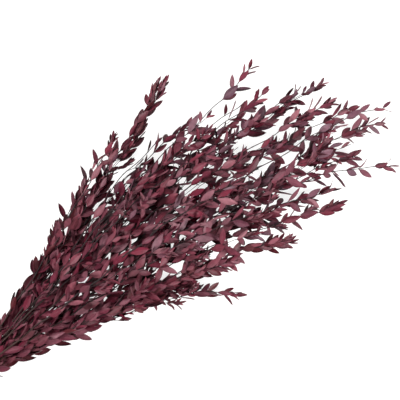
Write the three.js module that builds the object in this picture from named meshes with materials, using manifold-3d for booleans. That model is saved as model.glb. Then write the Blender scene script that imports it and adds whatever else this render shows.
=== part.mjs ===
// A bunch of preserved small-leaved eucalyptus, dyed burgundy, lying on a table.
// Leafy stems are gathered in a rubber band near their cut ends and open into a flat fan.
// Millimetres, +Z up. The cut ends point to -X and the leafy tips to +X, and Z = 0 is the table.
// The origin is on the table, below the middle of the whole bunch.
import * as THREE from 'three';
import { mergeVertices } from 'three/addons/utils/BufferGeometryUtils.js';
import Module from 'manifold-3d';

// The fan, in six upright columns from left to right, each from its lowest stem to its highest.
// bearing: of the tip, in degrees from the bunch's middle line, left positive. reach: from the band
// to the tip. bend: degrees that the stem has curved to the right on its way there. spread: degrees
// between the tips of its side twigs and its own line, left positive, with 0 for both sides.
const COLUMNS = [
  [
    { bearing: 19.6, reach: 328, bend: -0.5, twigs: 2, spread: -3 },
    { bearing: 17.8, reach: 446, bend: -1.5, twigs: 3, spread: -1.2 },
    { bearing: 18.6, reach: 350, bend: -0.5, twigs: 2, spread: -3 },
  ],
  [
    { bearing: 15.0, reach: 335, bend: 1.5, twigs: 2, spread: 0 },
    { bearing: 12.4, reach: 385, bend: 1.5, twigs: 3, spread: 0 },
    { bearing: 10.8, reach: 422, bend: 2.0, twigs: 3, spread: -3 },
    { bearing: 9.0, reach: 520, bend: 1.5, twigs: 2, spread: -2 },
  ],
  [
    { bearing: 8.4, reach: 390, bend: 3.0, twigs: 2, spread: 0 },
    { bearing: 7.2, reach: 482, bend: 3.0, twigs: 3, spread: -3 },
    { bearing: 2.6, reach: 538, bend: 4.0, twigs: 3, spread: 0 },
    { bearing: 5.6, reach: 510, bend: 3.5, twigs: 3, spread: -3 },
    { bearing: 4.8, reach: 430, bend: 3.5, twigs: 2, spread: 0 },
  ],
  [
    { bearing: 0.2, reach: 480, bend: 4.0, twigs: 2, spread: 0 },
    { bearing: 1.2, reach: 570, bend: 4.5, twigs: 3, spread: 0 },
    { bearing: -3.2, reach: 576, bend: 4.5, twigs: 3, spread: 0 },
    { bearing: -1.0, reach: 562, bend: 4.5, twigs: 3, spread: 0 },
    { bearing: -5.0, reach: 608, bend: 5.0, twigs: 3, spread: 0 },
  ],
  [
    { bearing: -8.0, reach: 556, bend: 5.0, twigs: 3, spread: 0 },
    { bearing: -6.4, reach: 600, bend: 5.0, twigs: 3, spread: 0 },
    { bearing: -11.4, reach: 584, bend: 9.0, twigs: 3, spread: 2 },
    { bearing: -9.8, reach: 508, bend: 5.0, twigs: 3, spread: 0 },
  ],
  [
    { bearing: -19.4, reach: 360, bend: 6.5, twigs: 3, spread: 3 },
    { bearing: -12.2, reach: 508, bend: 4.5, twigs: 3, spread: 2 },
    { bearing: -13.4, reach: 440, bend: 3.5, twigs: 3, spread: -1.5 },
  ],
];

// The bundle in the band, and the heap that the fan lies in.
const SLOT_PITCH_Y = 3.6; // between columns
const SLOT_PITCH_Z = 4; // between the stems of a column
const OPENING = 75; // distance over which the bundle opens into the fan
const HEAP_NEAR = 24; // height of the stems' heap at the band
const HEAP_FAR = 82; // and where it is fullest
const HEAP_FULL_AT = 380;
const HEAP_SAG = 0.28; // share of its height that the heap loses at the longest tips
const SAG_FROM = 400;
const SAG_TO = 640;
const LOWEST_STEM = 9.5; // height of the lowest stems over the table, out in the fan
const LEVEL_STEP = 0.22; // share of the heap's height between a column's stems
const SWAY = 0.5; // degrees that a stem wanders from its bearing
const SWAY_LENGTH = 260;
const BENDING = 4; // power by which a stem's bend comes late, near its tip

// Stems.
const TAIL = 88; // bare stem from the band to the cut ends
const TAIL_VARIATION = 7;
const TAIL_SPREAD = 0.1; // share by which the bundle opens again at the cut ends
const CUT_SLANT = 0.5; // slope of the slanting cut
const STEM_RADIUS = 1.6;
const STEM_TIP_RADIUS = 0.55;
const BARE_UNTIL = 34; // from here on a stem carries leaves
const STEM_SIDES = 4;
const STEM_CORNER = 1.12; // a corner's distance from the middle, in true radii
const STRETCH = 58; // length of a straight stretch of wood
const STRETCH_GROWTH = 1.25; // stretches get longer towards the tip

// Side twigs.
const TWIG_SLENDER = 0.6; // radius of a twig's root, as a share of its stem's radius there
const TWIG_TIP_RADIUS = 0.45;
const TWIG_SIDES = 3;
const TWIG_CORNER = 1.25;
const TWIG_ZONE = [0.34, 0.74]; // shares of the stem's reach between which twigs start
const TWIG_LENGTH = [120, 190];
const TWIG_END = [0.84, 0.97]; // shares of the stem's reach that the longest twigs end at
const TWIG_CLEAR = 7; // distance from its root at which a twig is clear of its stem
const TWIG_SPREAD = 3; // degrees between a twig and its stem, where twigs grow to both sides
const TWIG_VARIATION = [0.75, 1.15]; // shares of that angle
const TWIG_SCATTER = 0.4; // how far a twig's root strays from even spacing, in spacings
const VEERING = 4; // power by which a twig's veer comes early, near its root
const TWIG_RISE = 0.035; // share of the heap by which a twig lies above or below its stem

// Leaf pairs, each about a quarter turn on from the one before.
const PAIR_SPACING_IN = 66; // between pairs in the crowd near the band
const PAIR_SPACING_OUT = 42; // and out in the open fan
const SPACED_OUT = [120, 420]; // distances from the band between which one becomes the other
const SPACING_VARIATION = [0.85, 1.15];
const PAIR_TWIST = [-0.2, 0.2]; // radians by which a pair strays from the quarter turn
const FIRST_PAIR = 44;
const FIRST_TWIG_PAIR = 14; // distance of a twig's first pair from its root
const LAST_PAIR = 5; // distance of the last pair from the tip
const SPLAY_IN = 20; // degrees between leaf and stem, in the crowd near the band
const SPLAY_OUT = 42; // and out in the open fan
const SPLAYED_OUT = 260;
const SPLAY_VARIATION = [0.85, 1.15];
const LEVELLED = [0.55, 1]; // how far a leaf turns to lie flat

// A leaf. Places along it are shares of its length from its root.
const LEAF_LENGTH = 22;
const LEAF_WIDTH = 8.4;
const SIZE_VARIATION = [0.88, 1.14];
const YOUNG = 0.55; // size of the youngest leaves, at the tips
const YOUNG_FROM = 0.8; // share of a shoot's length from which leaves get smaller
const SHOULDER = 0.36; // where a leaf is widest
const KEEL = 0.42; // and where it is deepest
const KEEL_DEPTH = 1.2;
const OUTER = 0.7;
const OUTER_WIDTH = 0.72; // share of the width left at that place
const FOOT = 0.26; // the narrow part that may come close to other wood
const ROOT_DEPTH = 0.4; // a leaf starts this share of the radius from the wood's middle
const DROOP = 0.1; // how far the tip bends down, as a share of the length

// Room between leaves.
const CLEARANCE = 0.5; // gap kept between a leaf and whatever else is near
const TABLE_GAP = 0.25;
const TRIES = 10; // positions tried for a leaf before its place stays empty
const TRY_TURN = 11; // degrees round the stem from one try to the next
const TRY_SPLAY = 0.08; // share by which a leaf splays more, up to three times over

// The rubber band.
const BAND_WIDTH = 8;
const BAND_THICKNESS = 1.6;
const BAND_CLEAR = STEM_RADIUS * STEM_CORNER + 0.6; // from a stem's middle to the band's inside
const BAND_SHOULDER = 1.9; // height of the dome's foot, in rows of stems
const BAND_TOP = 4.5; // height of the highest stem, in rows of stems
const SLOT_LOWEST = BAND_THICKNESS + BAND_CLEAR; // height of the bundle's lowest stems

const BURGUNDY = new THREE.Color(0x6e3540);
const RUBBER = new THREE.Color(0xb08a5a);

const { smoothstep, lerp, degToRad, clamp } = THREE.MathUtils;
const UP = new THREE.Vector3(0, 0, 1);

const wasm = await Module();
wasm.setup();

// A repeatable stream of numbers from 0 to 1.
function seeded(seed) {
  let state = seed;
  return () => {
    state = (state * 16807) % 2147483647;
    return state / 2147483647;
  };
}

function between(random, [low, high]) {
  return lerp(low, high, random());
}

// Height of the heap of stems at a distance from the band.
function heapHeight(reach) {
  const grown = lerp(HEAP_NEAR, HEAP_FAR, smoothstep(reach, 0, HEAP_FULL_AT));
  return grown * (1 - HEAP_SAG * smoothstep(reach, SAG_FROM, SAG_TO));
}

// A stem or twig. It leaves its slot in the band along X and opens out to its bearing. A twig keeps
// to its stem's line at first, and veers off it soon after its root. Places on a shoot are given by
// their reach, the distance from the band.
class Shoot {
  constructor(course, from, to, radii, stem = null, veer = 0, rise = 0) {
    Object.assign(this, { course, from, to, radii, veer, rise });
    const start = Math.max(from, BARE_UNTIL);
    const stretches = Math.ceil((to - start) / STRETCH);
    this.knots = from < 0 ? [from, 0, BARE_UNTIL / 2] : [];
    for (let k = 0; k <= stretches; k++) {
      this.knots.push(lerp(start, to, (k / stretches) ** (from < 0 ? STRETCH_GROWTH : 1)));
    }
    this.joints = this.knots.map((reach) => this.onLine(reach));
    if (stem) this.joints[0] = stem.at(from);
  }

  share(reach) {
    return clamp((reach - this.from) / (this.to - this.from), 0, 1);
  }

  radiusAt(reach) {
    return lerp(...this.radii, this.share(reach));
  }

  // The smooth line that the shoot follows.
  onLine(reach) {
    const { slotY, slotZ, bearing, length, bend, level, phase } = this.course;
    if (reach <= 0) {
      const spread = 1 + (TAIL_SPREAD * -reach) / TAIL;
      return new THREE.Vector3(reach, slotY * spread, lerp(SLOT_LOWEST, slotZ, spread));
    }
    const open = (reach * reach) / (reach * reach + OPENING * OPENING);
    const off = 1 - (1 - this.share(reach)) ** VEERING;
    const sway = SWAY * Math.sin((2 * Math.PI * reach) / SWAY_LENGTH + phase);
    const bent = bend * (1 - (reach / length) ** BENDING);
    const angle = degToRad(bearing + bent + sway + this.veer * off);
    const height = LOWEST_STEM + (level + this.rise * off) * heapHeight(reach);
    return new THREE.Vector3(
      reach * Math.cos(angle * open),
      lerp(slotY, reach * Math.sin(angle), open),
      lerp(slotZ, height, open),
    );
  }

  // The straight stretches that the shoot is drawn with.
  at(reach) {
    const last = this.knots.length - 1;
    const after = this.knots.findIndex((knot) => knot > reach);
    const k = clamp(after < 0 ? last : after, 1, last);
    const t = (reach - this.knots[k - 1]) / (this.knots[k] - this.knots[k - 1]);
    return this.joints[k - 1].clone().lerp(this.joints[k], t);
  }

  ahead(reach) {
    return this.at(reach + 0.5).sub(this.at(reach - 0.5)).normalize();
  }

  // The direction across the shoot at an angle round it, counted from the left over the top.
  across(reach, angle) {
    const ahead = this.ahead(reach);
    const left = new THREE.Vector3().crossVectors(UP, ahead).normalize();
    const above = new THREE.Vector3().crossVectors(ahead, left);
    return left.multiplyScalar(Math.cos(angle)).addScaledVector(above, Math.sin(angle));
  }
}

// Every stem as a list of shoots, its own first and then its twigs.
function layOut() {
  const stems = [];
  COLUMNS.forEach((column, c) => {
    column.forEach((plan, row) => {
      const random = seeded(1009 + 97 * stems.length);
      const step = row + (c % 2) / 2;
      const course = {
        slotY: ((COLUMNS.length - 1) / 2 - c) * SLOT_PITCH_Y,
        slotZ: SLOT_LOWEST + step * SLOT_PITCH_Z,
        level: step * LEVEL_STEP,
        phase: 2 * Math.PI * random(),
        bearing: plan.bearing,
        length: plan.reach,
        bend: plan.bend,
      };
      const tail = TAIL + between(random, [-TAIL_VARIATION, TAIL_VARIATION]);
      const shoots = [new Shoot(course, -tail, plan.reach, [STEM_RADIUS, STEM_TIP_RADIUS])];
      for (let k = 0; k < plan.twigs; k++) {
        const zone = (k + TWIG_SCATTER * random()) / plan.twigs;
        const start = plan.reach * lerp(...TWIG_ZONE, zone);
        const longest = plan.reach * between(random, TWIG_END);
        const end = Math.min(start + between(random, TWIG_LENGTH), longest);
        const spread = plan.spread || TWIG_SPREAD * ((k + row) % 2 ? 1 : -1);
        const veer = spread * between(random, TWIG_VARIATION);
        const rise = between(random, [-TWIG_RISE, TWIG_RISE]);
        const radii = [TWIG_SLENDER * shoots[0].radiusAt(start), TWIG_TIP_RADIUS];
        shoots.push(new Shoot(course, start, end, radii, shoots[0], veer, rise));
      }
      stems.push(shoots);
    });
  });
  return stems;
}

// A box round a piece of wood or a leaf, for keeping pieces apart.
function makeBox(centre, axes, halves) {
  return { centre, axes, halves, radius: Math.hypot(...halves) };
}

// Whether two boxes have a plane between them.
function apart(a, b) {
  const gap = new THREE.Vector3().subVectors(b.centre, a.centre);
  if (gap.length() > a.radius + b.radius) return true;
  const normals = [...a.axes, ...b.axes];
  for (const p of a.axes) {
    for (const q of b.axes) normals.push(new THREE.Vector3().crossVectors(p, q));
  }
  const half = (box, n) => box.axes.reduce((sum, u, i) => sum + box.halves[i] * Math.abs(u.dot(n)), 0);
  return normals.some((n) => n.lengthSq() > 1e-8 && Math.abs(gap.dot(n)) > half(a, n) + half(b, n));
}

// A box round each straight stretch of a shoot.
function woodBoxes(shoot) {
  return shoot.knots.slice(1).map((to, k) => {
    const from = k || shoot.from < 0 ? shoot.knots[k] : shoot.from + TWIG_CLEAR;
    const [start, end] = [shoot.at(from), shoot.at(to)];
    const ahead = end.clone().sub(start).normalize();
    const left = new THREE.Vector3().crossVectors(UP, ahead).normalize();
    const above = new THREE.Vector3().crossVectors(ahead, left);
    const radius = shoot.radiusAt(from) * TWIG_CORNER;
    const middle = start.clone().lerp(end, 0.5);
    return makeBox(middle, [ahead, left, above], [start.distanceTo(end) / 2, radius, radius]);
  });
}

// A leaf at a place on a shoot: where it starts, and its directions along the midrib, across the
// blade and out of its upper face. level is how far it turns to lie flat, from 0 to 1.
function poseLeaf(shoot, reach, angle, splay, level, length, width) {
  const outward = shoot.across(reach, angle);
  const ahead = shoot.ahead(reach);
  const along = ahead.clone().multiplyScalar(Math.cos(splay)).addScaledVector(outward, Math.sin(splay));
  const wide = new THREE.Vector3().crossVectors(ahead, outward).normalize();
  const face = new THREE.Vector3().crossVectors(along, wide);
  const roll = level * Math.atan(-wide.z / face.z);
  wide.applyAxisAngle(along, roll);
  face.applyAxisAngle(along, roll);
  const root = shoot.at(reach).addScaledVector(outward, shoot.radiusAt(reach) * ROOT_DEPTH);
  return { root, along, wide, face, length, width };
}

// A point on a leaf. forward runs from 0 at the root to 1 at the tip, sideways from -1 to 1.
function leafPoint({ root, along, wide, face, length, width }, forward, sideways, depth) {
  const drop = DROOP * length * clamp((forward - SHOULDER) / (1 - SHOULDER), 0, 1) ** 2;
  return root
    .clone()
    .addScaledVector(along, forward * length)
    .addScaledVector(wide, (sideways * width) / 2)
    .addScaledVector(face, -depth - drop);
}

// The box round a leaf, but for its narrow foot.
function leafBox(leaf) {
  const deep = KEEL_DEPTH + DROOP * leaf.length;
  const middle = leafPoint(leaf, 0, 0, deep / 2);
  middle.addScaledVector(leaf.along, ((1 + FOOT) / 2) * leaf.length);
  const sides = [leaf.length * (1 - FOOT), leaf.width, deep];
  const halves = sides.map((side) => (side + CLEARANCE) / 2);
  return makeBox(middle, [leaf.along, leaf.wide, leaf.face], halves);
}

// A leaf that fits at this place, or null where the crowd leaves no room. Each try turns it further.
function fitLeaf(boxes, shoot, reach, angle, size, random) {
  const open = smoothstep(reach, FIRST_PAIR, SPLAYED_OUT);
  const splay = lerp(SPLAY_IN, SPLAY_OUT, open) * between(random, SPLAY_VARIATION);
  for (let k = 0; k < TRIES; k++) {
    const turn = Math.ceil(k / 2) * (k % 2 ? -TRY_TURN : TRY_TURN);
    const bolder = degToRad(splay * (1 + TRY_SPLAY * (k % 4)));
    const level = between(random, LEVELLED);
    const [length, width] = [size * LEAF_LENGTH, Math.sqrt(size) * LEAF_WIDTH];
    const leaf = poseLeaf(shoot, reach, angle + degToRad(turn), bolder, level, length, width);
    const box = leafBox(leaf);
    const low = Math.min(...leafPoints(leaf).map((p) => p.z));
    if (low > TABLE_GAP && boxes.every((other) => apart(box, other))) {
      boxes.push(box);
      return leaf;
    }
  }
  return null;
}

// Every stem's leaves, from the outermost pair in the fan to the innermost.
function placeLeaves(stems) {
  const boxes = stems.flat().flatMap(woodBoxes);
  const leaves = stems.map(() => []);
  const sites = [];
  stems.forEach((shoots, s) => {
    shoots.forEach((shoot, n) => {
      const random = seeded(5003 + 131 * s + 17 * n);
      const first = n ? shoot.from + FIRST_TWIG_PAIR : FIRST_PAIR;
      let reach = shoot.to - LAST_PAIR;
      let angle = Math.PI * random();
      while (reach > first) {
        sites.push({ s, shoot, random, reach, angle });
        const spacing = lerp(PAIR_SPACING_IN, PAIR_SPACING_OUT, smoothstep(reach, ...SPACED_OUT));
        reach -= spacing * between(random, SPACING_VARIATION);
        angle += Math.PI / 2 + between(random, PAIR_TWIST);
      }
    });
  });
  sites.sort((a, b) => b.reach - a.reach);
  for (const { s, shoot, random, reach, angle } of sites) {
    const young = lerp(1, YOUNG, smoothstep(shoot.share(reach), YOUNG_FROM, 1));
    for (const opposite of [0, Math.PI]) {
      const size = young * between(random, SIZE_VARIATION);
      const leaf = fitLeaf(boxes, shoot, reach, angle + opposite, size, random);
      if (leaf) leaves[s].push(leaf);
    }
  }
  return leaves;
}

// A shoot's wood: a cylinder, bent and tapered along the shoot.
function makeWood(shoot, sides, corner) {
  const last = shoot.knots.length - 1;
  const wood = new THREE.CylinderGeometry(1, 1, 1, sides, last);
  const points = wood.attributes.position;
  const p = new THREE.Vector3();
  for (let i = 0; i < points.count; i++) {
    p.fromBufferAttribute(points, i);
    const reach = shoot.knots[Math.round(last * (p.y + 0.5))];
    const girth = Math.hypot(p.x, p.z) * shoot.radiusAt(reach) * corner;
    const out = shoot.across(reach, -Math.atan2(p.z, p.x)).multiplyScalar(girth);
    const slant = reach === shoot.from && reach < 0 ? CUT_SLANT * out.z : 0;
    p.copy(shoot.at(reach)).add(out);
    points.setXYZ(i, p.x + slant, p.y, p.z);
  }
  return wood;
}

// The seven corners of a leaf: right and left shoulder, keel under the midrib, right and left of the
// outer blade, tip, and root.
function leafPoints(leaf) {
  return [
    leafPoint(leaf, SHOULDER, 1, 0),
    leafPoint(leaf, SHOULDER, -1, 0),
    leafPoint(leaf, KEEL, 0, KEEL_DEPTH),
    leafPoint(leaf, OUTER, OUTER_WIDTH, 0),
    leafPoint(leaf, OUTER, -OUTER_WIDTH, 0),
    leafPoint(leaf, 1, 0, 0),
    leafPoint(leaf, 0, 0, 0),
  ];
}

// A leaf as a slim keeled blade, from its root inside the wood to its tip.
function makeLeaf(leaf) {
  const [right, left, keel, outerRight, outerLeft, tip, root] = [0, 1, 2, 3, 4, 5, 6];
  const faces = [
    [right, left, outerRight],
    [outerRight, left, outerLeft],
    [outerRight, outerLeft, tip],
    [left, keel, outerLeft],
    [outerLeft, keel, tip],
    [keel, right, outerRight],
    [keel, outerRight, tip],
    [root, left, right],
    [root, keel, left],
    [root, right, keel],
  ];
  return new THREE.BufferGeometry().setFromPoints(leafPoints(leaf)).setIndex(faces.flat());
}

// A closed geometry as a solid to be joined, and a joined solid as a geometry again.
function toSolid(geometry) {
  geometry.deleteAttribute('normal');
  geometry.deleteAttribute('uv');
  const merged = mergeVertices(geometry, 1e-5);
  const vertProperties = new Float32Array(merged.attributes.position.array);
  const triVerts = new Uint32Array(merged.index.array);
  return new wasm.Manifold(new wasm.Mesh({ numProp: 3, vertProperties, triVerts }));
}

function toGeometry(solid) {
  const mesh = solid.getMesh();
  const geometry = new THREE.BufferGeometry();
  geometry.setAttribute('position', new THREE.BufferAttribute(mesh.vertProperties, 3));
  geometry.setIndex(new THREE.BufferAttribute(mesh.triVerts, 1));
  geometry.computeVertexNormals();
  return geometry;
}

// A stem with its twigs and leaves, grown together as one piece.
function makeStem(shoots, leaves, number) {
  const [main, ...twigs] = shoots;
  const pieces = [
    makeWood(main, STEM_SIDES, STEM_CORNER),
    ...twigs.map((twig) => makeWood(twig, TWIG_SIDES, TWIG_CORNER)),
    ...leaves.map(makeLeaf),
  ];
  const solid = pieces.map(toSolid).reduce((whole, piece) => whole.add(piece));
  const stem = new THREE.Mesh(
    toGeometry(solid),
    new THREE.MeshStandardMaterial({ color: BURGUNDY, roughness: 0.55, metalness: 0 }),
  );
  stem.name = `leafy_stem_${String(number).padStart(2, '0')}`;
  return stem;
}

// The rubber band: a hoop round the bundle, flat where it lies on the table and domed on top.
function makeBand() {
  const side = ((COLUMNS.length - 1) / 2) * SLOT_PITCH_Y;
  const shoulder = SLOT_LOWEST + BAND_SHOULDER * SLOT_PITCH_Z;
  const dome = (BAND_TOP - BAND_SHOULDER) * SLOT_PITCH_Z;
  const outline = (path, gap) => {
    path.moveTo(-side, SLOT_LOWEST - gap);
    path.lineTo(side, SLOT_LOWEST - gap);
    path.absarc(side, SLOT_LOWEST, gap, -Math.PI / 2, 0);
    path.absellipse(0, shoulder, side + gap, dome + gap, 0, Math.PI);
    path.absarc(-side, SLOT_LOWEST, gap, Math.PI, 1.5 * Math.PI);
    return path;
  };
  const section = outline(new THREE.Shape(), BAND_CLEAR + BAND_THICKNESS);
  section.holes.push(outline(new THREE.Path(), BAND_CLEAR));
  const band = new THREE.Mesh(
    new THREE.ExtrudeGeometry(section, { depth: BAND_WIDTH, bevelEnabled: false, curveSegments: 5 }),
    new THREE.MeshStandardMaterial({ color: RUBBER, roughness: 0.7, metalness: 0 }),
  );
  band.name = 'rubber_band';
  // The section's X and Y become the bunch's Y and Z, and its depth becomes X.
  band.rotation.set(Math.PI / 2, Math.PI / 2, 0);
  band.position.x = -BAND_WIDTH / 2;
  return band;
}

const stems = layOut();
const leaves = placeLeaves(stems);

const bunch = new THREE.Group();
bunch.add(makeBand(), ...stems.map((shoots, s) => makeStem(shoots, leaves[s], s + 1)));

const middle = new THREE.Box3().setFromObject(bunch, true).getCenter(new THREE.Vector3());
bunch.position.set(-middle.x, -middle.y, 0);

const part = new THREE.Group();
part.add(bunch);
export default part;
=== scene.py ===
"""A bunch of preserved small-leaved eucalyptus, dyed burgundy, lying on a pale floor.

Metres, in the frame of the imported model: +X runs from the cut ends to the leafy tips and +Z is up.
The stems follow the same lines as the solids that they stand for, and carry the full foliage.
"""

import math
import random
from collections import namedtuple

import bpy
from bpy.props import FloatProperty, FloatVectorProperty, IntProperty, PointerProperty
from mathutils import Matrix, Vector


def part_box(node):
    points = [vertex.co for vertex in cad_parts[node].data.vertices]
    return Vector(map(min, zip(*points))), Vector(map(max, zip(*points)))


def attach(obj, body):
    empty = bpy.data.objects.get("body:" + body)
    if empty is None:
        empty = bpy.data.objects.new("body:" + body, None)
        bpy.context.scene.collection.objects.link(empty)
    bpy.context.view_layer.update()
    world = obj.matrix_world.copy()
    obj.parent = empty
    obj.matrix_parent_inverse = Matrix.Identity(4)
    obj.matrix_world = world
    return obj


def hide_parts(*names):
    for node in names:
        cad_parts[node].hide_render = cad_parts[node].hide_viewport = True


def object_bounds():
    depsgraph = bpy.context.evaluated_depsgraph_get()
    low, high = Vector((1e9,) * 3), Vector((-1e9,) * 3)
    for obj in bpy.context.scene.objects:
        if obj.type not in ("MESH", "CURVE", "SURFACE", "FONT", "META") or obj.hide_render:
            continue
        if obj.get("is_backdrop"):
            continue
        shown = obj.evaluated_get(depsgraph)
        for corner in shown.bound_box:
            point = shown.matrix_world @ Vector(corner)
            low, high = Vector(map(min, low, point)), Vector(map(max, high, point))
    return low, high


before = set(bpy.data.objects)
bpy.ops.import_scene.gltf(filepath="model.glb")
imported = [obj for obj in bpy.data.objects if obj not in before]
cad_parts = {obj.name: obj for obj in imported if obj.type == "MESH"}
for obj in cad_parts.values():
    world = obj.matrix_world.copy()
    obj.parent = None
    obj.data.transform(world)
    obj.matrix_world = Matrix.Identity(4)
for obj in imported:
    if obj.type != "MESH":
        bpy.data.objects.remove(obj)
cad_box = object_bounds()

bl_info = {
    "name": "Preserved eucalyptus bunch",
    "version": (1, 0, 0),
    "blender": (4, 5, 0),
    "location": "View3D > Sidebar > Bunch",
    "description": "Leafy stems in a rubber band, lying on a pale floor",
    "category": "Add Mesh",
}

MM = 0.001

# The fan, in six upright columns from left to right, each from its lowest stem to its highest:
# bearing of the tip in degrees, left positive; reach from the band to the tip; bend in degrees;
# number of side twigs; their spread in degrees, with 0 for both sides; and how leafy the stem is.
COLUMNS = [
    [
        (19.6, 0.328, -0.5, 2, -3, 0.4),
        (17.8, 0.446, -1.5, 3, -1.2, 1.2),
        (18.6, 0.350, -0.5, 2, -3, 0.5),
    ],
    [
        (15.0, 0.335, 1.5, 2, 0, 0.5),
        (12.4, 0.385, 1.5, 3, 0, 0.4),
        (10.8, 0.422, 2.0, 3, -3, 0.6),
        (9.0, 0.520, 1.5, 2, -2, 0.5),
    ],
    [
        (8.4, 0.390, 3.0, 2, 0, 0.5),
        (7.2, 0.482, 3.0, 3, -3, 0.3),
        (2.6, 0.538, 4.0, 3, 0, 0.8),
        (5.6, 0.510, 3.5, 3, -3, 0.4),
        (4.8, 0.430, 3.5, 2, 0, 0.3),
    ],
    [
        (0.2, 0.480, 4.0, 2, 0, 0.3),
        (1.2, 0.570, 4.5, 3, 0, 0.7),
        (-3.2, 0.576, 4.5, 3, 0, 0.7),
        (-1.0, 0.562, 4.5, 3, 0, 1.2),
        (-5.0, 0.608, 5.0, 3, 0, 0.5),
    ],
    [
        (-8.0, 0.556, 5.0, 3, 0, 0.8),
        (-6.4, 0.600, 5.0, 3, 0, 0.8),
        (-11.4, 0.584, 9.0, 3, 2, 0.7),
        (-9.8, 0.508, 5.0, 3, 0, 0.8),
    ],
    [
        (-19.4, 0.360, 6.5, 3, 3, 1.3),
        (-12.2, 0.508, 4.5, 3, 2, 0.9),
        (-13.4, 0.440, 3.5, 3, -1.5, 1.4),
    ],
]

# The share of the dye's range, from brown over wine red to plum, that each column's leaves took, and
# how bright they came out.
COLUMN_DYES = [(0, 0.7), (0.25, 1), (0.35, 1), (0.15, 1), (0.15, 1), (0, 0.8)]
COLUMN_BRIGHTNESS = [1, 0.93, 0.82, 1.0, 1.03, 0.97]

# What the solids' stems are laid out from: where the first stem's draws begin and how far on the next
# stem's do, and the factor and the range of the stream.
FIRST_DRAW = 1009
NEXT_DRAW = 97
DRAW_FACTOR = 16807
DRAW_RANGE = 2147483647

# The bundle in the band, and the heap that the fan lies in.
SLOT_PITCH_Y = 3.6 * MM
SLOT_PITCH_Z = 4 * MM
OPENING = 75 * MM
HEAP_NEAR = 24 * MM
HEAP_FAR = 82 * MM
HEAP_FULL_AT = 380 * MM
HEAP_SAG = 0.28
SAG_FROM = 400 * MM
SAG_TO = 640 * MM
LOWEST_STEM = 9.5 * MM
LEVEL_STEP = 0.22
SWAY = 0.5
SWAY_LENGTH = 260 * MM
BENDING = 4
WANDER = 1.4 * MM
WANDER_FULL_AT = 250 * MM
WANDER_ASIDE = 63 * MM
WANDER_ABOVE = 81 * MM
ASIDE_PHASE = 3
ABOVE_PHASE = 5
VEERING = 4

# Stems and side twigs.
TAIL = 88 * MM
TAIL_VARIATION = 7 * MM
TAIL_SPREAD = 0.1
STEM_RADIUS = 1.6 * MM
STEM_TIP_RADIUS = 0.4 * MM
STEM_CORNER = 1.12
TAPER = 0.45
HALF_STEP = 0.5 * MM
TWIG_SLENDER = 0.6
TWIG_TIP_RADIUS = 0.28 * MM
TWIG_ZONE = (0.34, 0.74)
TWIG_LENGTH = (120 * MM, 190 * MM)
TWIG_END = (0.84, 0.97)
TWIG_SPREAD = 3
TWIG_VARIATION = (0.75, 1.15)
TWIG_SCATTER = 0.4
TWIG_RISE = 0.035

# The rubber band round the bundle.
BAND_WIDTH = 8 * MM
BAND_THICKNESS = 1.6 * MM
BAND_CLEAR = STEM_RADIUS * STEM_CORNER + 0.6 * MM
BAND_SHOULDER = 1.9
BAND_TOP = 4.5
SLOT_LOWEST = BAND_THICKNESS + BAND_CLEAR

# What the leaves of the first stem grow from. Every further stem has the next whole number.
SEED = 14700

# Pairs of leaves along a shoot, each turned about a quarter from the one before, in tufts.
FIRST_PAIR = 44 * MM
FIRST_TWIG_PAIR = 12 * MM
LAST_PAIR = 2.5 * MM
TUFT_PAIRS = (2, 5)
TUFT_GAP = (6 * MM, 36 * MM)
GAPS_OPEN = (150 * MM, 300 * MM)
SPACED_OUT = (120 * MM, 420 * MM)
TIP_ZONE = 40 * MM
TIP_CROWDING = 0.5
FULL_TIP = (5 * MM, 70 * MM)
SPACING_VARIATION = (0.8, 1.2)
PAIR_TWIST = 0.6

# A leaf on its stem. Its splay and its roll are in degrees. The stems with leaves pressed close to them
# are counted from 0.
YOUNG_ZONE = 38 * MM
YOUNG = 0.68
YOUNG_SLIM = 0.82
SPLAYED_OUT = 380 * MM
SPLAY_IN = 20
SPLAY_OUT = 42
SPLAY_YOUNG = 30
SPLAY_VARIATION = (0.5, 1.3)
SIZE_VARIATION = (0.8, 1.15)
WIDTH_VARIATION = (0.85, 1.12)
LEVELLED = (0.25, 1)
MOST_TURNED = math.radians(150)
SHINGLED = 0.45
ROLL = 28
PRESSED = 0.5
PRESSED_STEMS = (1,)
LEAF_SEAT = 0.6
CURL_ROOM = 0.12
FLOOR_GAP = -3 * MM
FLATTENED_BELOW = 1.2 * MM
FLATTENED_TO = 0.12
TRIES = 12
TRY_TURN = math.radians(15)

# How bright the leaves are drawn. Leaves are darkened as painted shade by how many others lie over them: a
# leaf counts as lying under those over the same cell of the table that are higher than it by the depth, and
# under the most it keeps only the share of its brightness given below.
# Old leaves, nearest to the band, are darker and further towards the brown end of the dye's range.
BRIGHTNESS = (0.4, 0.9)
PAINTED_SHADE_SHARE = 0.2
PAINTED_SHADE_UNDER = (0, 6)
PAINTED_SHADE_CELL = 12 * MM
PAINTED_SHADE_DEPTH = 9 * MM
OLD = 0.84
OLD_BROWN = 0.55
OLD_UNTIL = (120 * MM, 360 * MM)

# Spurs, the finest shoots, with small leaves: so many on each stretch of a shoot.
SPURS = 1.05
SPUR_STRETCH = 100 * MM
SPURS_FROM = 140 * MM
SPURS_OUTWARD = 0.65
SPUR_LENGTH = (24 * MM, 46 * MM)
SPUR_SPLAY = (math.radians(22), math.radians(48))
SPUR_BEND = 0.35
SPUR_RADII = (0.32 * MM, 0.22 * MM)
SPUR_CLEAR = 5 * MM
SPUR_LEAF = 0.7
FIRST_SPUR_PAIR = 8 * MM

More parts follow.
